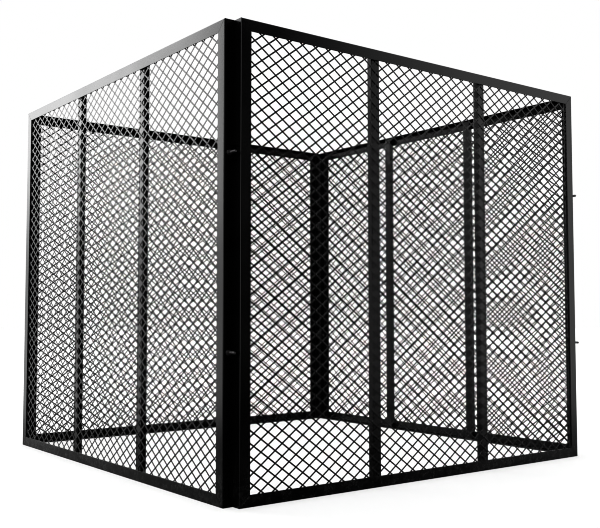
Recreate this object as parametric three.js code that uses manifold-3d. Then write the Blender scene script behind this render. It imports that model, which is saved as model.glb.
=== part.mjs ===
// Open-topped square mesh cage: four bolted wall panels, each a mitred angle-iron frame that holds
// one sheet of diamond mesh in front of two flat-tube mullions. Millimetres, +Z up.
// The origin is the centre of the footprint at floor level; the front panel faces -Y, the left one -X.
import * as THREE from "three";
import { mergeVertices } from "three/addons/utils/BufferGeometryUtils.js";
import Module from "manifold-3d";

const wasm = await Module();
wasm.setup();

// ---- Driving dimensions -------------------------------------------------------------------------

const PANEL_WIDTH = 2235;
const PANEL_HEIGHT = 2013;

const ANGLE_LEG = 50; // equal angle iron of the frames
const ANGLE_WALL = 4;

const MULLION_WIDTH = 50; // flat tube, upright behind the mesh
const MULLION_DEPTH = 30;
const MULLION_WALL = 2.5;

const DIAMOND_WIDTH = 72.1; // from knot to knot along the wall
const DIAMOND_HEIGHT = 52.7; // from knot to knot up the wall
const FIRST_KNOT_HEIGHT = 32; // above the floor, in the column of knots on the panel's end
const STRAND_WIDTH = 5.5;
const STRAND_THICKNESS = 1.9;
const STRAND_LAYER_GAP = 0.2; // between the strands that rise to the left and to the right
const EDGE_BAND_WIDTH = 12; // flat bar round the sheet, hidden by the frame
const EDGE_BAND_MARGIN = 0.3; // of the band beyond the strands, on each face
const EDGE_BAND_INSET = 10; // from the panel's outline to the band
const SHORTEST_STRAND = 40; // shorter corner strands are left out

const CLEAT_WALL = 6; // short angle that joins two panels inside each corner
const CLEAT_HEIGHT = 60;
const CLEAT_EDGE_GAP = 1.8; // from the ends of its legs to the mesh sheets
const CLEAT_LEVELS = { lower: 625, upper: 1450 }; // height of the bolt's axis

const BOLT_DIAMETER = 12;
const BOLT_LENGTH = 60; // under the head
const HEX_ACROSS_FLATS = 18;
const HEAD_HEIGHT = 7.5;
const NUT_HEIGHT = 10.8;
const WASHER_DIAMETER = 24;
const WASHER_THICKNESS = 2.5;
const BOLT_SETBACK = 25; // bolt axis from the outer face of the side panel

const SEAT_GAP = 0.3; // between two pieces that lie on each other
const PANEL_GAP = 0.4; // between the end of one panel and the back edge of the next
const HOLE_CLEARANCE = 0.5; // round a bolt, on the radius
const THREAD_CLEARANCE = 0.2; // between a nut and its bolt, on the radius
const ROUND_SIDES = 12;

// ---- Dimensions that follow from them -----------------------------------------------------------

const EDGE_BAND_THICKNESS = 2 * (STRAND_THICKNESS + EDGE_BAND_MARGIN) + STRAND_LAYER_GAP;
const SHEET_FRONT = ANGLE_WALL + SEAT_GAP; // depths from a panel's outer face
const SHEET_BACK = SHEET_FRONT + EDGE_BAND_THICKNESS;
const MULLION_FRONT = SHEET_BACK + SEAT_GAP;
const CLEAR_BAY = (PANEL_WIDTH - 2 * ANGLE_LEG - 2 * MULLION_WIDTH) / 3;
const HALF_WIDTH = PANEL_WIDTH / 2; // also from the centre of the cage to the end of a panel
const OUTER_FACE = HALF_WIDTH + PANEL_GAP + ANGLE_LEG; // from the centre to a panel's outer face
const CLEAT_HEEL = HALF_WIDTH - ANGLE_WALL - SEAT_GAP - CLEAT_WALL; // from the centre
const CLEAT_LEG = OUTER_FACE - SHEET_BACK - CLEAT_EDGE_GAP - CLEAT_HEEL;

// ---- Materials ----------------------------------------------------------------------------------

const framePaint = new THREE.MeshStandardMaterial({ color: 0x101011, roughness: 0.35, metalness: 0 });
const meshPaint = new THREE.MeshStandardMaterial({ color: 0x131314, roughness: 0.45, metalness: 0 });
const blackedSteel = new THREE.MeshStandardMaterial({ color: 0x26262a, roughness: 0.4, metalness: 1 });

// ---- Solids -------------------------------------------------------------------------------------

function toSolid(geometry) {
  const bare = geometry.clone();
  bare.deleteAttribute("normal");
  bare.deleteAttribute("uv");
  const merged = mergeVertices(bare, 1e-4);
  return new wasm.Manifold(
    new wasm.Mesh({
      numProp: 3,
      vertProperties: merged.attributes.position.array,
      triVerts: new Uint32Array(merged.index.array),
    }),
  );
}

function toGeometry(solid) {
  const mesh = solid.getMesh();
  const geometry = new THREE.BufferGeometry();
  geometry.setAttribute("position", new THREE.BufferAttribute(mesh.vertProperties, 3));
  geometry.setIndex(new THREE.BufferAttribute(mesh.triVerts, 1));
  geometry.computeVertexNormals();
  return geometry;
}

function extrude(shape, depth) {
  return new THREE.ExtrudeGeometry(shape, { depth, bevelEnabled: false, curveSegments: ROUND_SIDES });
}

function polygon(points) {
  return new THREE.Shape(points.map(([x, y]) => new THREE.Vector2(x, y)));
}

function rectangle(width, height) {
  const [x, y] = [width / 2, height / 2];
  return polygon([[-x, -y], [x, -y], [x, y], [-x, y]]);
}

function hexagon(acrossFlats) {
  const radius = acrossFlats / Math.sqrt(3);
  const corners = Array.from({ length: 6 }, (_, i) => (i * Math.PI) / 3);
  return polygon(corners.map((angle) => [radius * Math.cos(angle), radius * Math.sin(angle)]));
}

function roundHole(shape, radius) {
  shape.holes.push(new THREE.Path().absarc(0, 0, radius, 0, 2 * Math.PI, true));
  return shape;
}

// An L section: both legs start at the origin and run along +X and +Y.
function angleSection(leg, wall) {
  return polygon([[0, 0], [leg, 0], [leg, wall], [wall, wall], [wall, leg], [0, leg]]);
}

// A solid along Y that drills one bolt hole through a leg.
function drill(x, y, z) {
  const radius = BOLT_DIAMETER / 2 + HOLE_CLEARANCE;
  const length = 2 * (ANGLE_WALL + CLEAT_WALL);
  return toSolid(new THREE.CylinderGeometry(radius, radius, length, ROUND_SIDES).translate(x, y, z));
}

// One side of a frame, mitred at both ends: it runs along X, its face leg lies in the plane y = 0
// and its other leg, along the outline, points to +Y. The outline is outlineDistance below centre.
function frameSide(length, outlineDistance) {
  const mitreShift = SEAT_GAP / Math.SQRT2;
  const geometry = extrude(angleSection(ANGLE_LEG, ANGLE_WALL), length);
  geometry.translate(0, 0, -length / 2);
  const position = geometry.attributes.position;
  for (let i = 0; i < position.count; i++) {
    const z = position.getZ(i);
    position.setZ(i, z - Math.sign(z) * (position.getX(i) + mitreShift));
  }
  geometry.rotateY(-Math.PI / 2);
  return geometry.translate(0, 0, -outlineDistance);
}

function mullion() {
  const section = rectangle(MULLION_WIDTH, MULLION_DEPTH);
  section.holes.push(rectangle(MULLION_WIDTH - 2 * MULLION_WALL, MULLION_DEPTH - 2 * MULLION_WALL));
  const length = PANEL_HEIGHT - 2 * (ANGLE_WALL + SEAT_GAP);
  return extrude(section, length).translate(0, MULLION_FRONT + MULLION_DEPTH / 2, -length / 2);
}

// The part of the line through (x, z) with direction (dx, dz) that lies inside a centred rectangle.
function clipToRectangle(x, z, dx, dz, halfX, halfZ) {
  const alongX = [(-halfX - x) / dx, (halfX - x) / dx].sort((a, b) => a - b);
  const alongZ = [(-halfZ - z) / dz, (halfZ - z) / dz].sort((a, b) => a - b);
  return [Math.max(alongX[0], alongZ[0]), Math.min(alongX[1], alongZ[1])];
}

// All strands that rise to the right (lean 1) or to the left (lean -1), as boxes in one layer.
function strands(lean, layerMiddle) {
  const halfX = HALF_WIDTH - EDGE_BAND_INSET - EDGE_BAND_WIDTH / 2;
  const halfZ = PANEL_HEIGHT / 2 - EDGE_BAND_INSET - EDGE_BAND_WIDTH / 2;
  const run = Math.hypot(DIAMOND_WIDTH, DIAMOND_HEIGHT);
  const dx = DIAMOND_WIDTH / run;
  const dz = (lean * DIAMOND_HEIGHT) / run;
  const firstKnot = FIRST_KNOT_HEIGHT - PANEL_HEIGHT / 2;
  const climb = PANEL_WIDTH * (DIAMOND_HEIGHT / DIAMOND_WIDTH);
  const reach = Math.ceil((PANEL_HEIGHT + climb) / DIAMOND_HEIGHT);
  const found = [];
  for (let i = -reach; i <= reach; i++) {
    const z = firstKnot + i * DIAMOND_HEIGHT;
    const [start, end] = clipToRectangle(-HALF_WIDTH, z, dx, dz, halfX, halfZ);
    if (end - start < SHORTEST_STRAND) continue;
    const strand = new THREE.BoxGeometry(end - start, STRAND_THICKNESS, STRAND_WIDTH);
    const middle = (start + end) / 2;
    strand.rotateY(-Math.atan2(dz, dx));
    strand.translate(-HALF_WIDTH + middle * dx, layerMiddle, z + middle * dz);
    found.push(toSolid(strand));
  }
  return found;
}

function meshSheet() {
  const width = PANEL_WIDTH - 2 * EDGE_BAND_INSET;
  const height = PANEL_HEIGHT - 2 * EDGE_BAND_INSET;
  const outline = rectangle(width, height);
  outline.holes.push(rectangle(width - 2 * EDGE_BAND_WIDTH, height - 2 * EDGE_BAND_WIDTH));
  const band = extrude(outline, EDGE_BAND_THICKNESS).rotateX(Math.PI / 2).translate(0, SHEET_BACK, 0);
  const middle = (SHEET_FRONT + SHEET_BACK) / 2;
  const layer = (STRAND_THICKNESS + STRAND_LAYER_GAP) / 2;
  return toGeometry(
    wasm.Manifold.union([toSolid(band), ...strands(1, middle - layer), ...strands(-1, middle + layer)]),
  );
}

// ---- Panels -------------------------------------------------------------------------------------

const cage = new THREE.Group();

function add(parent, name, geometry, material) {
  const mesh = new THREE.Mesh(geometry, material);
  mesh.name = name;
  parent.add(mesh);
  return mesh;
}

// A bolt hole through the leg on the outline, at each cleat. outlineX is where that leg lies.
function drilledStile(stile, outlineX) {
  let solid = toSolid(stile.rotateZ(Math.PI / 2));
  for (const level of Object.values(CLEAT_LEVELS)) {
    solid = solid.subtract(drill(-BOLT_SETBACK, outlineX, level - PANEL_HEIGHT / 2));
  }
  return toGeometry(solid).rotateZ(-Math.PI / 2);
}

// A panel seen from outside: x to the right, outer face in the plane y = 0, centre at half height.
// The side panels are drilled, because the bolts pass through their ends.
function addPanel(side, turn, drilled) {
  const panel = new THREE.Group();
  panel.rotation.z = turn;
  panel.position.set(OUTER_FACE * Math.sin(turn), -OUTER_FACE * Math.cos(turn), PANEL_HEIGHT / 2);
  cage.add(panel);

  const rail = () => frameSide(PANEL_WIDTH, PANEL_HEIGHT / 2);
  add(panel, `${side}_bottom_rail`, rail(), framePaint);
  add(panel, `${side}_top_rail`, rail().rotateY(Math.PI), framePaint);

  for (const [hand, sign] of [["left", -1], ["right", 1]]) {
    const stile = frameSide(PANEL_HEIGHT, HALF_WIDTH).rotateY((-sign * Math.PI) / 2);
    const finished = drilled ? drilledStile(stile, sign * HALF_WIDTH) : stile;
    add(panel, `${side}_${hand}_stile`, finished, framePaint);
    const upright = add(panel, `${side}_${hand}_mullion`, mullion(), framePaint);
    upright.position.x = (sign * (CLEAR_BAY + MULLION_WIDTH)) / 2;
  }
  add(panel, `${side}_mesh`, meshSheet(), meshPaint);
}

addPanel("front", 0, false);
addPanel("right", Math.PI / 2, true);
addPanel("back", Math.PI, false);
addPanel("left", -Math.PI / 2, true);

// ---- Corner joints ------------------------------------------------------------------------------

// Bolts, nuts and washers are made along +Y from the plane y = 0.
function bolt() {
  const radius = BOLT_DIAMETER / 2;
  const root = HEAD_HEIGHT / 2; // the shank starts inside the head
  const shank = new THREE.CylinderGeometry(radius, radius, root + BOLT_LENGTH, ROUND_SIDES);
  shank.translate(0, (BOLT_LENGTH - root) / 2, 0);
  const head = extrude(hexagon(HEX_ACROSS_FLATS), HEAD_HEIGHT).rotateX(Math.PI / 2);
  return toGeometry(toSolid(head).add(toSolid(shank)));
}

function nut() {
  const section = roundHole(hexagon(HEX_ACROSS_FLATS), BOLT_DIAMETER / 2 + THREAD_CLEARANCE);
  return extrude(section, NUT_HEIGHT).rotateX(-Math.PI / 2);
}

function washer() {
  const disc = new THREE.Shape().absarc(0, 0, WASHER_DIAMETER / 2, 0, 2 * Math.PI);
  const section = roundHole(disc, BOLT_DIAMETER / 2 + HOLE_CLEARANCE);
  return extrude(section, WASHER_THICKNESS).rotateX(-Math.PI / 2);
}

// A short angle with its heel towards the inside of the cage, seen from above at the corner
// where x has the sign signX and y has the sign signY.
function cleat(signX, signY, boltX) {
  const section = angleSection(CLEAT_LEG, CLEAT_WALL).getPoints();
  const placed = polygon(section.map((p) => [signX * (CLEAT_HEEL + p.x), signY * (CLEAT_HEEL + p.y)]));
  const body = extrude(placed, CLEAT_HEIGHT).translate(0, 0, -CLEAT_HEIGHT / 2);
  return toGeometry(toSolid(body).subtract(drill(signX * boltX, signY * CLEAT_HEEL, 0)));
}

function addCorner(corner, signX, signY) {
  const boltX = OUTER_FACE - BOLT_SETBACK;
  const washerSeat = HALF_WIDTH + SEAT_GAP;
  const nutSeat = washerSeat + WASHER_THICKNESS + SEAT_GAP;
  for (const [level, height] of Object.entries(CLEAT_LEVELS)) {
    const joint = new THREE.Group();
    joint.position.z = height;
    cage.add(joint);
    add(joint, `cleat_${corner}_${level}`, cleat(signX, signY, boltX), framePaint);

    const fixings = new THREE.Group();
    fixings.position.x = signX * boltX;
    fixings.rotation.z = signY > 0 ? 0 : Math.PI;
    joint.add(fixings);
    add(fixings, `bolt_${corner}_${level}`, bolt(), blackedSteel).position.y = CLEAT_HEEL - SEAT_GAP;
    add(fixings, `washer_${corner}_${level}`, washer(), blackedSteel).position.y = washerSeat;
    add(fixings, `nut_${corner}_${level}`, nut(), blackedSteel).position.y = nutSeat;
  }
}

addCorner("front_left", -1, -1);
addCorner("front_right", 1, -1);
addCorner("back_left", -1, 1);
addCorner("back_right", 1, 1);

export default cage;
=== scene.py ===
"""Open-topped cage of four bolted mesh panels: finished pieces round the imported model. Metres, +Z up.

A panel is made once, as it is seen from outside: x to the right, y into the cage from the panel's
outer face, z up from the floor. PANEL_PLACES then turns it to the front, right, back and left.
"""

import math
import random

import bmesh
import bpy
from mathutils import Matrix, Vector


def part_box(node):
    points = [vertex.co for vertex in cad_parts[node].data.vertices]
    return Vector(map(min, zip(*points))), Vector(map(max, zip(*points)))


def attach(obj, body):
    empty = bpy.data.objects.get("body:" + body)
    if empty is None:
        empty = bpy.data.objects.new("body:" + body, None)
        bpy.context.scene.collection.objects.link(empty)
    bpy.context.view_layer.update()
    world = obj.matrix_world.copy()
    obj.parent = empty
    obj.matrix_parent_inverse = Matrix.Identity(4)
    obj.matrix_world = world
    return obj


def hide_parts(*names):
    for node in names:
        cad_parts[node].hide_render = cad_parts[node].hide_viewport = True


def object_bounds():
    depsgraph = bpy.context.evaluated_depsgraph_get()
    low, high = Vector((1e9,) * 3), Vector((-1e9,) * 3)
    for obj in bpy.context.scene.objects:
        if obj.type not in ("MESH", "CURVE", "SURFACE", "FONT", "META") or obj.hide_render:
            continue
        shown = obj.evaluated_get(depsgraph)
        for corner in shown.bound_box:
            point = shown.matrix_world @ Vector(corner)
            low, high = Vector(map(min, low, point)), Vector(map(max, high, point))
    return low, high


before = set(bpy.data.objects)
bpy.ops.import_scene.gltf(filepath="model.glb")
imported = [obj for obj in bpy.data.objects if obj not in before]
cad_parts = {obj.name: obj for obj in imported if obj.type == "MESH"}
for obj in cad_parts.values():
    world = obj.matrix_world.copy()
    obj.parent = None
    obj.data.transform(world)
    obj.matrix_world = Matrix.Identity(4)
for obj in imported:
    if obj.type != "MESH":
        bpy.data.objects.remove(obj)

CAD_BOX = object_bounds()

# ---- Sizes that the frame gives ------------------------------------------------------------------

OUTER_FACE = CAD_BOX[1].x  # from the centre to a panel's outer face
HEIGHT = CAD_BOX[1].z
HALF_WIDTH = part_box("front_right_stile")[1].x  # of one panel
RAIL_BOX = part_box("front_bottom_rail")
LEG_CLOSURE = 0.0008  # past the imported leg, so that no light shows between two panels' end legs
ANGLE_LEG = RAIL_BOX[1].y - RAIL_BOX[0].y + LEG_CLOSURE
SHEET_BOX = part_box("front_mesh")

SIDES = {"front": 0.0, "right": math.pi / 2, "back": math.pi, "left": -math.pi / 2}
CORNERS = {"front_left": (-1, -1), "front_right": (1, -1), "back_left": (-1, 1), "back_right": (1, 1)}
LEVELS = ("lower", "upper")
PANEL_PLACES = {
    side: Matrix.Translation((OUTER_FACE * math.sin(turn), -OUTER_FACE * math.cos(turn), 0))
    @ Matrix.Rotation(turn, 4, "Z")
    for side, turn in SIDES.items()
}

# ---- Sizes of the finish -------------------------------------------------------------------------

ANGLE_WALL = 0.004
HEEL_RADIUS = 0.0044  # outer corner of an angle
ROOT_RADIUS = 0.0055  # fillet between its legs
TOE_RADIUS = 0.0010  # inner edge of each leg's end
TOE_EASE = 0.0004  # outer edge of each leg's end
MITRE_GAP = 0.0010  # left by the saw at each cut

MULLION_WALL = 0.0025
MULLION_CORNER = 0.004

DIAMOND_WIDTH = 0.0721
DIAMOND_HEIGHT = 0.0527
FIRST_KNOT_HEIGHT = 0.032
STRAND_WIDTH = 0.0071
STRAND_DEPTH = 0.0014
STRAND_CORNER = 0.0005
STRAND_OFFSET = 0.00035  # of each family of strands from the middle of the sheet
KNOT_SIZE = (0.0064, 0.0014, 0.0050)  # half sizes of the fused lump at a crossing
BAND_WIDTH = 0.012
SHORTEST_STRAND = 0.040

BAND_EASE = 0.0009
KNOT_CLEARANCE = 0.002  # from the edge band

CLEAT_WALL = 0.006
CLEAT_EASE = 0.0007
BOLT_RADIUS = 0.006
BOLT_HOLE_RADIUS = 0.0065
THREAD_PITCH = 0.00175
THREAD_DEPTH = 0.00095
HEX_ACROSS_FLATS = 0.018
HEAD_HEIGHT = 0.0075
HEX_TOP_RADIUS = 0.47 * HEX_ACROSS_FLATS  # of the round land on a chamfered end
HEX_CHAMFER = math.radians(30)
WASHER_HOLE_RADIUS = 0.0065
WASHER_EASE = 0.0004
BORE_LENGTH = 0.08
NUT_CLEARANCE = 0.0001  # on the radius, round the bolt

WELD_RADIUS = 0.0032
STITCH_RADIUS = 0.0021
STITCH_LENGTH = 0.024
STITCH_SPACING = 0.30
STITCH_SHIFT = 0.01  # at most, from even spacing
STITCH_DEPTH = 0.0012  # behind the sheet's front
BEAD_END = 0.003  # left bare at the end of a seam
BEAD_START = 0.002  # left bare behind the sheet
BEAD_PITCH = 0.62  # between ripples, as a share of the bead's radius

# ---- Helpers for meshes --------------------------------------------------------------------------


def turned(angle, axis, place=(0, 0, 0)):
    return Matrix.Translation(place) @ Matrix.Rotation(angle, 4, axis)


def append(bm, part, matrix=Matrix.Identity(4)):
    """Adds the bmesh part, placed by matrix, to bm and frees it."""
    bmesh.ops.transform(part, matrix=matrix, verts=part.verts[:])
    mesh = to_mesh(part, "part")
    bm.from_mesh(mesh)
    bpy.data.meshes.remove(mesh)


def to_mesh(bm, name):
    mesh = bpy.data.meshes.new(name)
    bm.to_mesh(mesh)
    bm.free()
    return mesh


def placed(pattern, matrix):
    """A bmesh copy of the mesh pattern, moved by matrix. A mirrored one is turned right side out."""
    bm = bmesh.new()
    bm.from_mesh(pattern)
    bmesh.ops.transform(bm, matrix=matrix, verts=bm.verts[:])
    if matrix.determinant() < 0:
        bmesh.ops.reverse_faces(bm, faces=bm.faces[:])
    return bm


def duplicate(bm, geometry, step):
    """Copies geometry once, moved by step, and returns the copy."""
    copy = bmesh.ops.duplicate(bm, geom=geometry)["geom"]
    bmesh.ops.translate(bm, vec=step, verts=[v for v in copy if isinstance(v, bmesh.types.BMVert)])
    return copy


def row(bm, geometry, step, count):
    """Repeats geometry count times in all, and returns everything."""
    made = list(geometry)
    for i in range(1, count):
        made += duplicate(bm, geometry, Vector(step) * i)
    return made


def round_corner(bm, places, radius, segments):
    """Rounds the corners of a flat outline that lie at these places."""
    near = [v for v in bm.verts if any((v.co - Vector(p)).length < 1e-6 for p in places)]
    bmesh.ops.bevel(
        bm, geom=near, offset=radius, segments=segments, profile=0.5, affect="VERTICES", material=-1
    )


def ease_edges(bm, radius, segments=1, angle=math.radians(40)):
    """Rounds every edge that is sharper than angle."""
    sharp = [e for e in bm.edges if len(e.link_faces) == 2 and e.calc_face_angle() > angle]
    bmesh.ops.bevel(
        bm,
        geom=sharp,
        offset=radius,
        segments=segments,
        profile=0.5,
        affect="EDGES",
        material=-1,
        clamp_overlap=True,
    )


def extruded(bm, direction):
    """Makes the flat faces of bm into a closed solid that reaches along direction."""
    grown = bmesh.ops.extrude_face_region(bm, geom=bm.faces[:], use_keep_orig=True)["geom"]
    bmesh.ops.translate(bm, vec=direction, verts=[v for v in grown if isinstance(v, bmesh.types.BMVert)])
    bmesh.ops.recalc_face_normals(bm, faces=bm.faces[:])
    return bm


def hollow(bm, wall):
    """Leaves a rim of this width round the single flat face of bm."""
    middle = bm.faces[:]
    bmesh.ops.inset_region(bm, faces=middle, thickness=wall, use_boundary=True, use_even_offset=True)
    bmesh.ops.delete(bm, geom=middle, context="FACES")


def flat_outline(points):
    bm = bmesh.new()
    bm.faces.new([bm.verts.new(p) for p in points])
    return bm


def piece(name, bm, material, nodes=(), smooth_angle=38):
    """A finished object of the cage. It stands for the CAD nodes, if any."""
    mesh = to_mesh(bm, name)
    mesh.materials.append(material)
    mesh.shade_smooth()
    mesh.set_sharp_from_angle(angle=math.radians(smooth_angle))
    thing = bpy.data.objects.new(name, mesh)
    bpy.context.scene.collection.objects.link(thing)
    even = thing.modifiers.new("even_normals", "WEIGHTED_NORMAL")
    even.keep_sharp = True
    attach(thing, "root")
    if nodes:
        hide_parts(*nodes)
    return thing


# ---- Materials -----------------------------------------------------------------------------------


class Nodes:
    """Short words for building the node tree of a material or a world."""

    def __init__(self, owner, coordinates="Object"):
        owner.use_nodes = True
        self.owner = owner
        self.tree = owner.node_tree
        self.shader = self.tree.nodes.get("Principled BSDF")
        self.place = self.add("ShaderNodeTexCoord").outputs[coordinates]

    def add(self, kind, inputs=(), **settings):
        node = self.tree.nodes.new(kind)
        for name, value in settings.items():
            setattr(node, name, value)
        for name, value in dict(inputs).items():
            if isinstance(value, bpy.types.NodeSocket):
                self.tree.links.new(value, node.inputs[name])
            else:
                node.inputs[name].default_value = value
        return node

    def noise(self, scale, detail=3.0, roughness=0.5, vector=None):
        inputs = {"Vector": vector or self.place, "Scale": scale, "Detail": detail, "Roughness": roughness}
        return self.add("ShaderNodeTexNoise", inputs).outputs["Fac"]

    def steps(self, value, low, high, to_low=0.0, to_high=1.0):
        inputs = {"Value": value, "From Min": low, "From Max": high, "To Min": to_low, "To Max": to_high}
        return self.add("ShaderNodeMapRange", inputs, interpolation_type="SMOOTHSTEP").outputs["Result"]

    def maths(self, operation, first, second=0.0):
        return self.add("ShaderNodeMath", {0: first, 1: second}, operation=operation).outputs[0]

    def mix(self, share, first, second):
        node = self.tree.nodes.new("ShaderNodeMix")
        node.data_type = "RGBA"
        for index, value in ((0, share), (6, first), (7, second)):
            if isinstance(value, bpy.types.NodeSocket):
                self.tree.links.new(value, node.inputs[index])
            else:
                node.inputs[index].default_value = value
        return node.outputs[2]

    def bump(self, height, strength, distance, normal=None):
        inputs = {"Height": height, "Strength": strength, "Distance": distance}
        if normal:
            inputs["Normal"] = normal
        return self.add("ShaderNodeBump", inputs).outputs["Normal"]

    def to_shader(self, **links):
        for name, value in links.items():
            socket = self.shader.inputs[name.replace("_", " ")]
            if isinstance(value, bpy.types.NodeSocket):
                self.tree.links.new(value, socket)
            else:
                socket.default_value = value


def grey(value, tint=1.0):
    return (value, value, value * tint, 1.0)


def powder_coat(name, roughness, peel_scale):
    """Satin black powder coat: fine orange peel, faint tone changes, dust low down, small rubs."""
    n = Nodes(bpy.data.materials.new(name))
    height = n.add("ShaderNodeSeparateXYZ", {"Vector": n.place}).outputs["Z"]
    cloud = n.noise(2.3, 4.0, 0.6)
    peel = n.noise(peel_scale, 2.0, 0.45)
    grain = n.noise(2600.0, 1.0, 0.5)
    rub = n.noise(38.0, 6.0, 0.72)

    tone = n.mix(n.steps(cloud, 0.3, 0.7), grey(0.0020, 1.04), grey(0.0038, 1.05))
    dust = n.maths("MULTIPLY", n.steps(height, 0.28, 0.0), n.steps(rub, 0.42, 0.68, 0.0, 0.55))
    dusty = n.mix(dust, tone, grey(0.010, 0.96))
    rubbed = n.steps(rub, 0.69, 0.75)
    colour = n.mix(n.maths("MULTIPLY", rubbed, 0.35), dusty, grey(0.022, 1.0))
    gloss = n.steps(cloud, 0.25, 0.75, roughness - 0.035, roughness + 0.045)
    gloss = n.maths("ADD", gloss, n.maths("MULTIPLY", dust, 0.25))
    gloss = n.maths("ADD", gloss, n.maths("MULTIPLY", rubbed, 0.12))
    wave = n.bump(peel, 0.09, 0.0004)
    fine = n.bump(grain, 0.05, 0.0001, wave)
    n.to_shader(Base_Color=colour, Roughness=gloss, Normal=fine)
    n.to_shader(IOR=1.5)
    return n.owner


def black_oxide(name):
    """Blackened steel of the bolts, nuts and washers: uneven in tone, with small worn marks."""
    n = Nodes(bpy.data.materials.new(name))
    patch = n.noise(160.0, 5.0, 0.65)
    marks = n.noise(900.0, 3.0, 0.6)
    tone = n.mix(n.steps(patch, 0.35, 0.65), (0.12, 0.118, 0.122, 1.0), (0.24, 0.235, 0.238, 1.0))
    colour = n.mix(n.steps(marks, 0.62, 0.74, 0.0, 0.6), tone, (0.42, 0.41, 0.40, 1.0))
    gloss = n.steps(patch, 0.3, 0.7, 0.24, 0.36)
    n.to_shader(Base_Color=colour, Roughness=gloss, Normal=n.bump(marks, 0.15, 0.0001), Metallic=0.85)
    return n.owner


FRAME_COAT = powder_coat("frame_powder_coat", 0.18, 520.0)
MESH_COAT = powder_coat("mesh_powder_coat", 0.22, 700.0)
BLACKED_STEEL = black_oxide("blacked_steel")

# ---- Frames --------------------------------------------------------------------------------------


def angle_section(leg, wall, root_radius):
    """An L outline in the plane x = 0: its heel is at the origin, its legs run along +Y and +Z."""
    points = [(0, 0), (leg, 0), (leg, wall), (wall, wall), (wall, leg), (0, leg)]
    bm = flat_outline([(0, y, z) for y, z in points])
    round_corner(bm, [(0, 0, 0)], HEEL_RADIUS, 6)
    round_corner(bm, [(0, wall, wall)], root_radius, 5)
    round_corner(bm, [(0, leg, wall), (0, wall, leg)], TOE_RADIUS, 4)
    round_corner(bm, [(0, leg, 0), (0, 0, leg)], TOE_EASE, 2)
    return bm


def mitred_angle(length):
    """An angle along X, centred, mitred at both ends for a frame whose inside is towards +Z."""
    bm = angle_section(ANGLE_LEG, ANGLE_WALL, ROOT_RADIUS)
    extruded(bm, (length, 0, 0))
    bmesh.ops.translate(bm, vec=(-length / 2, 0, 0), verts=bm.verts[:])
    for end in (-1, 1):
        cut = bmesh.ops.bisect_plane(
            bm,
            geom=bm.verts[:] + bm.edges[:] + bm.faces[:],
            plane_co=(end * (length / 2 - MITRE_GAP), 0, 0),
            plane_no=(end, 0, 1),
            clear_outer=True,
        )
        rim = [e for e in cut["geom_cut"] if isinstance(e, bmesh.types.BMEdge)]
        bmesh.ops.edgeloop_fill(bm, edges=rim)
    bmesh.ops.recalc_face_normals(bm, faces=bm.faces[:])
    return bm


FRAME_TURNS = {
    "bottom_rail": Matrix.Identity(4),
    "top_rail": turned(math.pi, "Y", (0, 0, HEIGHT)),
    "left_stile": turned(math.pi / 2, "Y", (-HALF_WIDTH, 0, HEIGHT / 2)),
    "right_stile": turned(-math.pi / 2, "Y", (HALF_WIDTH, 0, HEIGHT / 2)),
}


def bored(pattern, bores, radius):
    """The mesh pattern with round holes, each given by its centre and axis."""
    thing = bpy.data.objects.new("bored", pattern)
    bpy.context.scene.collection.objects.link(thing)
    cutter = bmesh.new()
    for centre, axis in bores:
        place = Matrix.Translation(centre) @ Vector(axis).to_track_quat("Z", "Y").to_matrix().to_4x4()
        bmesh.ops.create_cone(
            cutter,
            cap_ends=True,
            segments=28,
            radius1=radius,
            radius2=radius,
            depth=BORE_LENGTH,
            matrix=place,
        )
    bore = bpy.data.objects.new("bore", to_mesh(cutter, "bore"))
    bpy.context.scene.collection.objects.link(bore)
    cut = thing.modifiers.new("bore", "BOOLEAN")
    cut.object, cut.operation, cut.solver = bore, "DIFFERENCE", "EXACT"
    seen = thing.evaluated_get(bpy.context.evaluated_depsgraph_get())
    result = bpy.data.meshes.new_from_object(seen)
    for spent in (thing, bore):
        mesh = spent.data
        bpy.data.objects.remove(spent)
        bpy.data.meshes.remove(mesh)
    return result


def bolt_bores():
    """Where the bolts cross the outline leg of a side panel's left stile, before the stile is turned."""
    found = []
    for level in LEVELS:
        low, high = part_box(f"bolt_front_left_{level}")
        setback = OUTER_FACE - abs(low.x + high.x) / 2
        found.append(((HEIGHT / 2 - (low.z + high.z) / 2, setback, ANGLE_WALL / 2), (0, 0, 1)))
    return found


def make_frames():
    rail = to_mesh(mitred_angle(2 * HALF_WIDTH), "rail")
    stile = to_mesh(mitred_angle(HEIGHT), "stile")
    left_bores = bolt_bores()
    right_bores = [((-x, y, z), axis) for (x, y, z), axis in left_bores]
    drilled = {
        "left_stile": bored(to_mesh(mitred_angle(HEIGHT), "left_stile"), left_bores, BOLT_HOLE_RADIUS),
        "right_stile": bored(to_mesh(mitred_angle(HEIGHT), "right_stile"), right_bores, BOLT_HOLE_RADIUS),
    }
    for side, place in PANEL_PLACES.items():
        for member, turn in FRAME_TURNS.items():
            pattern = rail if member.endswith("rail") else stile
            if side in ("left", "right"):
                pattern = drilled.get(member, pattern)
            node = f"{side}_{member}"
            piece(node + "_angle", placed(pattern, place @ turn), FRAME_COAT, [node])
    for mesh in (rail, stile, *drilled.values()):
        bpy.data.meshes.remove(mesh)


# ---- Mullions ------------------------------------------------------------------------------------


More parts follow.
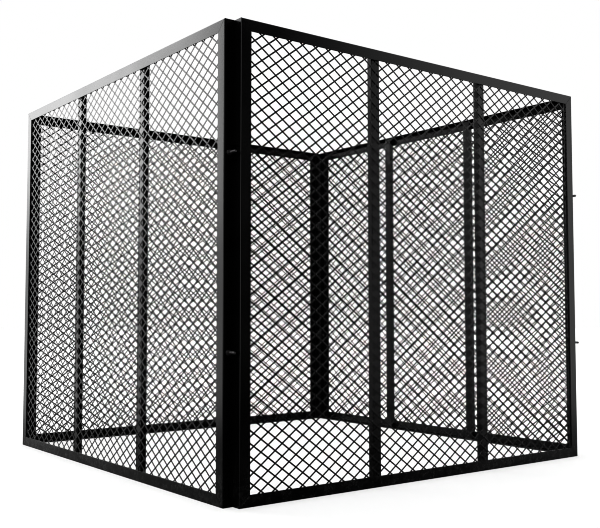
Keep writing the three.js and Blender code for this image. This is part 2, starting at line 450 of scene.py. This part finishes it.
def make_mullions():
    for hand in ("left", "right"):
        low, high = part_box(f"front_{hand}_mullion")
        low, high = low + Vector((0, OUTER_FACE, 0)), high + Vector((0, OUTER_FACE, 0))
        outline = [(low.x, low.y), (high.x, low.y), (high.x, high.y), (low.x, high.y)]
        corners = [(x, y, low.z) for x, y in outline]
        bm = flat_outline(corners)
        round_corner(bm, corners, MULLION_CORNER, 5)
        hollow(bm, MULLION_WALL)
        tube = to_mesh(extruded(bm, (0, 0, high.z - low.z)), "tube")
        for side, place in PANEL_PLACES.items():
            node = f"{side}_{hand}_mullion"
            piece(node + "_tube", placed(tube, place), FRAME_COAT, [node])
        bpy.data.meshes.remove(tube)


# ---- Mesh sheets ---------------------------------------------------------------------------------


def clipped(x, z, dx, dz, half_x, low_z, high_z):
    """Start and end of the line through (x, z) inside a rectangle, as distances along the line."""
    along_x = sorted(((-half_x - x) / dx, (half_x - x) / dx))
    along_z = sorted(((low_z - z) / dz, (high_z - z) / dz))
    return max(along_x[0], along_z[0]), min(along_x[1], along_z[1])


def strand(length):
    """A flat strand with round edges along X, centred on the origin."""
    y, z = STRAND_DEPTH / 2, STRAND_WIDTH / 2
    corners = [(-length / 2, -y, -z), (-length / 2, y, -z), (-length / 2, y, z), (-length / 2, -y, z)]
    bm = flat_outline(corners)
    round_corner(bm, corners, STRAND_CORNER, 3)
    return extruded(bm, (length, 0, 0))


def make_strands(bm, middle):
    half_x = -SHEET_BOX[0].x - BAND_WIDTH / 2
    low_z, high_z = SHEET_BOX[0].z + BAND_WIDTH / 2, SHEET_BOX[1].z - BAND_WIDTH / 2
    angle = math.atan2(DIAMOND_HEIGHT, DIAMOND_WIDTH)
    reach = math.ceil((HEIGHT + 2 * HALF_WIDTH * math.tan(angle)) / DIAMOND_HEIGHT)
    for lean in (-1, 1):
        dx, dz = math.cos(angle), lean * math.sin(angle)
        for i in range(-reach, reach + 1):
            z = FIRST_KNOT_HEIGHT + i * DIAMOND_HEIGHT
            start, end = clipped(-HALF_WIDTH, z, dx, dz, half_x, low_z, high_z)
            if end - start < SHORTEST_STRAND:
                continue
            along = (start + end) / 2
            centre = (-HALF_WIDTH + along * dx, middle + lean * STRAND_OFFSET, z + along * dz)
            append(bm, strand(end - start), turned(-lean * angle, "Y", centre))


def make_knots(middle):
    """The lumps where strands are fused, on the two interleaved grids of crossings."""
    bm = bmesh.new()
    margin = BAND_WIDTH + KNOT_CLEARANCE
    for shift in (0.0, 0.5):
        first_x = -HALF_WIDTH + shift * DIAMOND_WIDTH
        while first_x < SHEET_BOX[0].x + margin:
            first_x += DIAMOND_WIDTH
        first_z = FIRST_KNOT_HEIGHT + shift * DIAMOND_HEIGHT
        while first_z < SHEET_BOX[0].z + margin:
            first_z += DIAMOND_HEIGHT
        across = int((SHEET_BOX[1].x - margin - first_x) / DIAMOND_WIDTH) + 1
        up = int((SHEET_BOX[1].z - margin - first_z) / DIAMOND_HEIGHT) + 1
        place = Matrix.Translation((first_x, middle, first_z)) @ Matrix.Diagonal((*KNOT_SIZE, 1))
        made = bmesh.ops.create_uvsphere(
            bm, u_segments=8, v_segments=4, radius=1, matrix=place @ Matrix.Rotation(math.pi / 2, 4, "X")
        )["verts"]
        knot = list({g for v in made for g in (v, *v.link_edges, *v.link_faces)})
        line = row(bm, knot, (DIAMOND_WIDTH, 0, 0), across)
        row(bm, line, (0, 0, DIAMOND_HEIGHT), up)
    return bm


def make_band(low_y, high_y):
    """The flat bar round the sheet."""
    (left, _, bottom), (right, _, top) = SHEET_BOX
    corners = [(left, low_y, bottom), (right, low_y, bottom), (right, low_y, top), (left, low_y, top)]
    bm = flat_outline(corners)
    hollow(bm, BAND_WIDTH)
    extruded(bm, (0, high_y - low_y, 0))
    ease_edges(bm, BAND_EASE, 2)
    return bm


def make_sheets():
    low_y, high_y = SHEET_BOX[0].y + OUTER_FACE, SHEET_BOX[1].y + OUTER_FACE
    middle = (low_y + high_y) / 2
    sheet = make_knots(middle)
    make_strands(sheet, middle)
    append(sheet, make_band(low_y, high_y))
    lattice = to_mesh(sheet, "lattice")
    for side, place in PANEL_PLACES.items():
        node = f"{side}_mesh"
        bm = placed(lattice, place)
        piece(node + "_lattice", bm, MESH_COAT, [node], smooth_angle=50)
    bpy.data.meshes.remove(lattice)


# ---- Welds ---------------------------------------------------------------------------------------


def bead(bm, start, end, radius, shuffle):
    """A weld bead as a row of overlapping ripples from start to end."""
    start, end = Vector(start), Vector(end)
    line = end - start
    step = radius * BEAD_PITCH
    count = max(2, round(line.length / step))
    turn = line.to_track_quat("X", "Z").to_matrix().to_4x4()
    part = bmesh.new()
    for i in range(count + 1):
        swell = radius * shuffle.uniform(0.92, 1.06)
        place = Matrix.Translation(start + line * (i / count)) @ turn
        size = Matrix.Diagonal((swell * BEAD_PITCH, swell, swell, 1))
        bmesh.ops.create_uvsphere(part, u_segments=8, v_segments=5, radius=1, matrix=place @ size)
    append(bm, part)


def frame_welds(bm, shuffle):
    """Fillets in the frame's four inside corners, clear of the sheet."""
    behind = SHEET_BOX[1].y + OUTER_FACE + BEAD_START
    for x in (-1, 1):
        for z in (ANGLE_WALL, HEIGHT - ANGLE_WALL):
            corner_x = x * (HALF_WIDTH - ANGLE_WALL)
            bead(bm, (corner_x, behind, z), (corner_x, ANGLE_LEG - BEAD_END, z), WELD_RADIUS, shuffle)


def mullion_welds(bm, shuffle):
    """Fillets round three sides of each mullion's two ends."""
    for hand in ("left", "right"):
        low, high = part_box(f"front_{hand}_mullion")
        front, back = low.y + OUTER_FACE, high.y + OUTER_FACE
        for z in (low.z, high.z):
            bead(bm, (low.x + BEAD_END, back, z), (high.x - BEAD_END, back, z), WELD_RADIUS, shuffle)
            for x in (low.x, high.x):
                bead(bm, (x, front + BEAD_START, z), (x, back - BEAD_END, z), WELD_RADIUS, shuffle)


def stitch_welds(bm, shuffle):
    """Short beads that hold the sheet's band to the back of the frame's face legs."""
    y = SHEET_BOX[0].y + OUTER_FACE + STITCH_DEPTH
    spans = (
        (SHEET_BOX[0].x, SHEET_BOX[1].x, lambda u, edge: (u, y, edge), (SHEET_BOX[0].z, SHEET_BOX[1].z)),
        (SHEET_BOX[0].z, SHEET_BOX[1].z, lambda u, edge: (edge, y, u), (SHEET_BOX[0].x, SHEET_BOX[1].x)),
    )
    for first, last, point, edges in spans:
        count = round((last - first) / STITCH_SPACING)
        for edge in edges:
            for i in range(count):
                shift = shuffle.uniform(-STITCH_SHIFT, STITCH_SHIFT)
                middle = first + (i + 0.5) * (last - first) / count + shift
                ends = (middle - STITCH_LENGTH / 2, middle + STITCH_LENGTH / 2)
                bead(bm, point(ends[0], edge), point(ends[1], edge), STITCH_RADIUS, shuffle)


def make_welds():
    shuffle = random.Random(11)
    bm = bmesh.new()
    frame_welds(bm, shuffle)
    mullion_welds(bm, shuffle)
    stitch_welds(bm, shuffle)
    welds = to_mesh(bm, "welds")
    for side, place in PANEL_PLACES.items():
        piece(f"{side}_welds", placed(welds, place), FRAME_COAT, smooth_angle=60)
    bpy.data.meshes.remove(welds)


def make_cleat_welds():
    """Beads above and below each cleat, on the stile of the front or back panel."""
    shuffle = random.Random(12)
    bm = bmesh.new()
    for corner, (sign_x, sign_y) in CORNERS.items():
        for level in LEVELS:
            low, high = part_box(f"cleat_{corner}_{level}")
            seat = (high.x if sign_x > 0 else low.x) - sign_x * (high.x - low.x - CLEAT_WALL)
            ends = sorted((low.y + 0.004, high.y - 0.004))
            for z in (low.z, high.z):
                bead(bm, (seat, ends[0], z), (seat, ends[1], z), WELD_RADIUS, shuffle)
    piece("cleat_welds", bm, FRAME_COAT, smooth_angle=60)


# ---- Corner joints -------------------------------------------------------------------------------


def make_cleat():
    """A short angle, its heel upright at the origin and its legs along +X and +Y, bored for its bolt."""
    low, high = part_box("cleat_back_right_lower")
    leg, tall = high.x - low.x, high.z - low.z
    bm = extruded(angle_section(leg, CLEAT_WALL, ROOT_RADIUS), (tall, 0, 0))
    ease_edges(bm, CLEAT_EASE, 2, math.radians(60))
    upright = Matrix(((0, 1, 0, 0), (0, 0, 1, 0), (1, 0, 0, -tall / 2), (0, 0, 0, 1)))
    bmesh.ops.transform(bm, matrix=upright, verts=bm.verts[:])
    bmesh.ops.recalc_face_normals(bm, faces=bm.faces[:])
    bolt_low, bolt_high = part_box("bolt_back_right_lower")
    bore = ((bolt_low.x + bolt_high.x) / 2 - low.x, CLEAT_WALL / 2, 0)
    return bored(to_mesh(bm, "cleat"), [(bore, (0, 1, 0))], BOLT_HOLE_RADIUS)


def threaded_rod(length):
    """A closed rod along +Y from y = 0 with one right-hand thread over its whole length."""
    around, rings_per_turn = 20, 6
    rings = round(length / THREAD_PITCH * rings_per_turn)
    bm = bmesh.new()
    bmesh.ops.create_circle(bm, cap_ends=True, segments=around, radius=BOLT_RADIUS)
    cap = bm.faces[:]
    for _ in range(rings):
        grown = bmesh.ops.extrude_face_region(bm, geom=cap)["geom"]
        cap = [g for g in grown if isinstance(g, bmesh.types.BMFace)]
        moved = [g for g in grown if isinstance(g, bmesh.types.BMVert)]
        bmesh.ops.translate(bm, vec=(0, 0, length / rings), verts=moved)
    bmesh.ops.contextual_create(bm, geom=[e for e in bm.edges if e.is_boundary])
    taper = 2 * THREAD_PITCH
    for v in bm.verts:
        turn = math.atan2(v.co.y, v.co.x) / (2 * math.pi)
        phase = (v.co.z / THREAD_PITCH - turn) % 1.0
        depth = THREAD_DEPTH * min(1.0, max(0.0, 1.25 - abs(phase - 0.5) * 3.2))
        runout = max(0.0, 1 - (length - v.co.z) / taper) * THREAD_DEPTH
        radius = BOLT_RADIUS - max(depth, runout)
        v.co.x = radius * math.cos(turn * 2 * math.pi)
        v.co.y = radius * math.sin(turn * 2 * math.pi)
    bmesh.ops.rotate(bm, cent=(0, 0, 0), matrix=Matrix.Rotation(-math.pi / 2, 3, "X"), verts=bm.verts[:])
    bmesh.ops.recalc_face_normals(bm, faces=bm.faces[:])
    return bm


def hexagon_prism(height, bottom_chamfer, top_chamfer):
    """A hexagon along +Y from y = 0, its corners turned down at one end or both."""
    bm = bmesh.new()
    corner = HEX_ACROSS_FLATS / math.sqrt(3)
    bmesh.ops.create_circle(bm, cap_ends=True, segments=48, radius=corner)
    extruded(bm, (0, 0, height))
    for v in bm.verts:
        angle = math.atan2(v.co.y, v.co.x)
        sector = (angle % (math.pi / 3)) - math.pi / 6
        radius = HEX_ACROSS_FLATS / 2 / math.cos(sector)
        v.co.x = radius * math.cos(angle)
        v.co.y = radius * math.sin(angle)
    caps = [f for f in bm.faces if len(f.verts) > 4]
    for cap in caps:
        top = cap.calc_center_median().z > height / 2
        if not (top_chamfer if top else bottom_chamfer):
            continue
        bmesh.ops.inset_region(bm, faces=[cap], thickness=0.0, depth=0.0)
        drop = -1 if top else 1
        for v in cap.verts:
            angle = math.atan2(v.co.y, v.co.x)
            v.co.x = HEX_TOP_RADIUS * math.cos(angle)
            v.co.y = HEX_TOP_RADIUS * math.sin(angle)
        rim = {w for v in cap.verts for e in v.link_edges for w in [e.other_vert(v)]} - set(cap.verts)
        for w in rim:
            over = math.hypot(w.co.x, w.co.y) - HEX_TOP_RADIUS
            w.co.z += drop * over * math.tan(HEX_CHAMFER)
    bmesh.ops.rotate(bm, cent=(0, 0, 0), matrix=Matrix.Rotation(-math.pi / 2, 3, "X"), verts=bm.verts[:])
    bmesh.ops.recalc_face_normals(bm, faces=bm.faces[:])
    return bm


def make_bolt():
    low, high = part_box("bolt_back_right_lower")
    bm = hexagon_prism(HEAD_HEIGHT, True, False)
    rod = threaded_rod(high.y - low.y - HEAD_HEIGHT / 2)
    append(bm, rod, Matrix.Translation((0, HEAD_HEIGHT / 2, 0)))
    return to_mesh(bm, "bolt")


def make_nut():
    low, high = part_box("nut_back_right_lower")
    bm = hexagon_prism(high.y - low.y, True, True)
    return bored(to_mesh(bm, "nut"), [((0, 0, 0), (0, 1, 0))], BOLT_RADIUS + NUT_CLEARANCE)


def make_washer():
    low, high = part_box("washer_back_right_lower")
    bm = bmesh.new()
    bmesh.ops.create_circle(bm, cap_ends=True, segments=40, radius=(high.x - low.x) / 2)
    hollow(bm, (high.x - low.x) / 2 - WASHER_HOLE_RADIUS)
    extruded(bm, (0, 0, high.y - low.y))
    ease_edges(bm, WASHER_EASE, 2, math.radians(60))
    bmesh.ops.rotate(bm, cent=(0, 0, 0), matrix=Matrix.Rotation(-math.pi / 2, 3, "X"), verts=bm.verts[:])
    return to_mesh(bm, "washer")


FIXINGS = {  # kind of fixing: ending of its piece's name, its maker
    "bolt": ("threaded", make_bolt),
    "washer": ("ring", make_washer),
    "nut": ("hexagon", make_nut),
}


def make_joints():
    """Cleat, bolt, washer and nut of each joint, the fixings turned as fitters leave them."""
    shuffle = random.Random(7)
    cleat = make_cleat()
    patterns = {kind: make() for kind, (_, make) in FIXINGS.items()}
    for corner, (sign_x, sign_y) in CORNERS.items():
        for level in LEVELS:
            node = f"cleat_{corner}_{level}"
            low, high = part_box(node)
            heel = (low.x if sign_x > 0 else high.x, low.y if sign_y > 0 else high.y, (low.z + high.z) / 2)
            place = Matrix.Translation(heel) @ Matrix.Diagonal((sign_x, sign_y, 1, 1))
            piece(node + "_angle", placed(cleat, place), FRAME_COAT, [node])
            for kind, (ending, _) in FIXINGS.items():
                node = f"{kind}_{corner}_{level}"
                low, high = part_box(node)
                seat = ((low.x + high.x) / 2, low.y if sign_y > 0 else high.y, (low.z + high.z) / 2)
                outward = turned(0 if sign_y > 0 else math.pi, "Z", seat)
                spin = Matrix.Rotation(shuffle.uniform(0, math.pi / 3), 4, "Y")
                bm = placed(patterns[kind], outward @ spin)
                piece(f"{node}_{ending}", bm, BLACKED_STEEL, [node], smooth_angle=50)
    for mesh in (cleat, *patterns.values()):
        bpy.data.meshes.remove(mesh)


make_frames()
make_mullions()
make_sheets()
make_welds()
make_cleat_welds()
make_joints()

# ---- Studio --------------------------------------------------------------------------------------

CAMERA_PLACE = (-3.1367, -4.2150, 0.7810)
CAMERA_YAW = math.radians(37.2354)  # from +Y towards +X
CAMERA_PITCH = math.radians(3.393)
CAMERA_LENS = 53.7215
CAMERA_SHIFT = (0.0026, -0.0043)

# Radiances of what the coat mirrors. An edge is where a light begins and where it is full, as an angle
# from +Y towards +X, or for a foot as the sine of the height above the horizon.
DIM_ROOM = 0.01
BRIGHT_WALL = 4.5
BRIGHT_WALL_FLOOR = 0.26
BRIGHT_WALL_LEFT_EDGE = (math.radians(-34.8), math.radians(-28.2))
BRIGHT_WALL_RIGHT_EDGE = (math.radians(-4), math.radians(-28))
BRIGHT_WALL_FOOT = (0.045, 0.175)
PALE_SIDES = 1.35
PALE_SIDES_EDGE = (math.radians(145), math.radians(131.5))
PALE_SIDES_FOOT = (-0.125, -0.10)
DARK_GAP = math.radians(-57)  # in the pale sides
DARK_GAP_EDGE = (math.radians(7), math.radians(11))  # to each side of its middle

OVERHEAD_SIZE = 12.0
OVERHEAD_HEIGHT = 7.0
OVERHEAD_POWER = 350.0
FLOOR_REACH = 40.0
VIEW_GAMMA = 0.75
FILM_FILTER = 1.0


def make_camera():
    data = bpy.data.cameras.new("camera")
    data.lens = CAMERA_LENS
    data.sensor_width = 36.0
    data.shift_x, data.shift_y = CAMERA_SHIFT
    camera = bpy.data.objects.new("camera", data)
    camera.location = CAMERA_PLACE
    camera.rotation_euler = (math.pi / 2 + CAMERA_PITCH, 0, -CAMERA_YAW)
    bpy.context.scene.collection.objects.link(camera)
    bpy.context.scene.camera = camera


def make_floor():
    """Pale ground that shades softly under the cage and turns white round it."""
    bm = bmesh.new()
    bmesh.ops.create_grid(bm, x_segments=1, y_segments=1, size=FLOOR_REACH)
    mesh = to_mesh(bm, "floor")
    n = Nodes(bpy.data.materials.new("pale_floor"))
    distance = n.add("ShaderNodeVectorMath", {0: n.place}, operation="LENGTH").outputs["Value"]
    glow = n.steps(distance, 1.5, 6.0, 0.66, 0.73)
    n.to_shader(Base_Color=grey(0.28), Roughness=0.9, Emission_Color=grey(1.0), Emission_Strength=glow)
    mesh.materials.append(n.owner)
    floor = bpy.data.objects.new("floor", mesh)
    floor.location.z = -0.0005
    floor.visible_glossy = False
    floor.visible_diffuse = False
    bpy.context.scene.collection.objects.link(floor)


def make_world():
    """White behind the cage. Its coat mirrors a dim room, pale at the sides, with one bright wall."""
    world = bpy.data.worlds.new("studio")
    n = Nodes(world, "Generated")
    x, y, rise = n.add("ShaderNodeSeparateXYZ", {"Vector": n.place}).outputs
    turn = n.maths("ARCTAN2", x, y)  # from +Y towards +X
    aside = n.maths("ABSOLUTE", turn)

    bright = n.steps(turn, *BRIGHT_WALL_LEFT_EDGE)
    bright = n.maths("MULTIPLY", bright, n.steps(turn, *BRIGHT_WALL_RIGHT_EDGE))
    bright = n.maths("MULTIPLY", bright, n.steps(rise, *BRIGHT_WALL_FOOT, BRIGHT_WALL_FLOOR, BRIGHT_WALL))
    pale = n.steps(rise, *PALE_SIDES_FOOT, 0.0, PALE_SIDES)
    pale = n.maths("MULTIPLY", pale, n.steps(aside, *PALE_SIDES_EDGE))
    from_gap = n.maths("ABSOLUTE", n.maths("SUBTRACT", turn, DARK_GAP))
    pale = n.maths("MULTIPLY", pale, n.steps(from_gap, *DARK_GAP_EDGE))
    mirrored = n.maths("ADD", n.maths("ADD", bright, pale), DIM_ROOM)

    seen = n.add("ShaderNodeLightPath").outputs["Is Camera Ray"]
    strength = n.maths("ADD", n.maths("MULTIPLY", mirrored, n.maths("SUBTRACT", 1.0, seen)), seen)
    backdrop = n.tree.nodes["Background"]
    backdrop.inputs["Color"].default_value = (1, 1, 1, 1)
    n.tree.links.new(strength, backdrop.inputs["Strength"])
    bpy.context.scene.world = world


def make_overhead_light():
    data = bpy.data.lights.new("overhead_light", "AREA")
    data.size = OVERHEAD_SIZE
    data.energy = OVERHEAD_POWER
    light = bpy.data.objects.new("overhead_light", data)
    light.location.z = OVERHEAD_HEIGHT
    bpy.context.scene.collection.objects.link(light)


def make_studio():
    make_camera()
    make_floor()
    make_world()
    make_overhead_light()
    bpy.context.scene.view_settings.view_transform = "Standard"
    bpy.context.scene.view_settings.gamma = VIEW_GAMMA
    bpy.context.scene.cycles.filter_width = FILM_FILTER


make_studio()
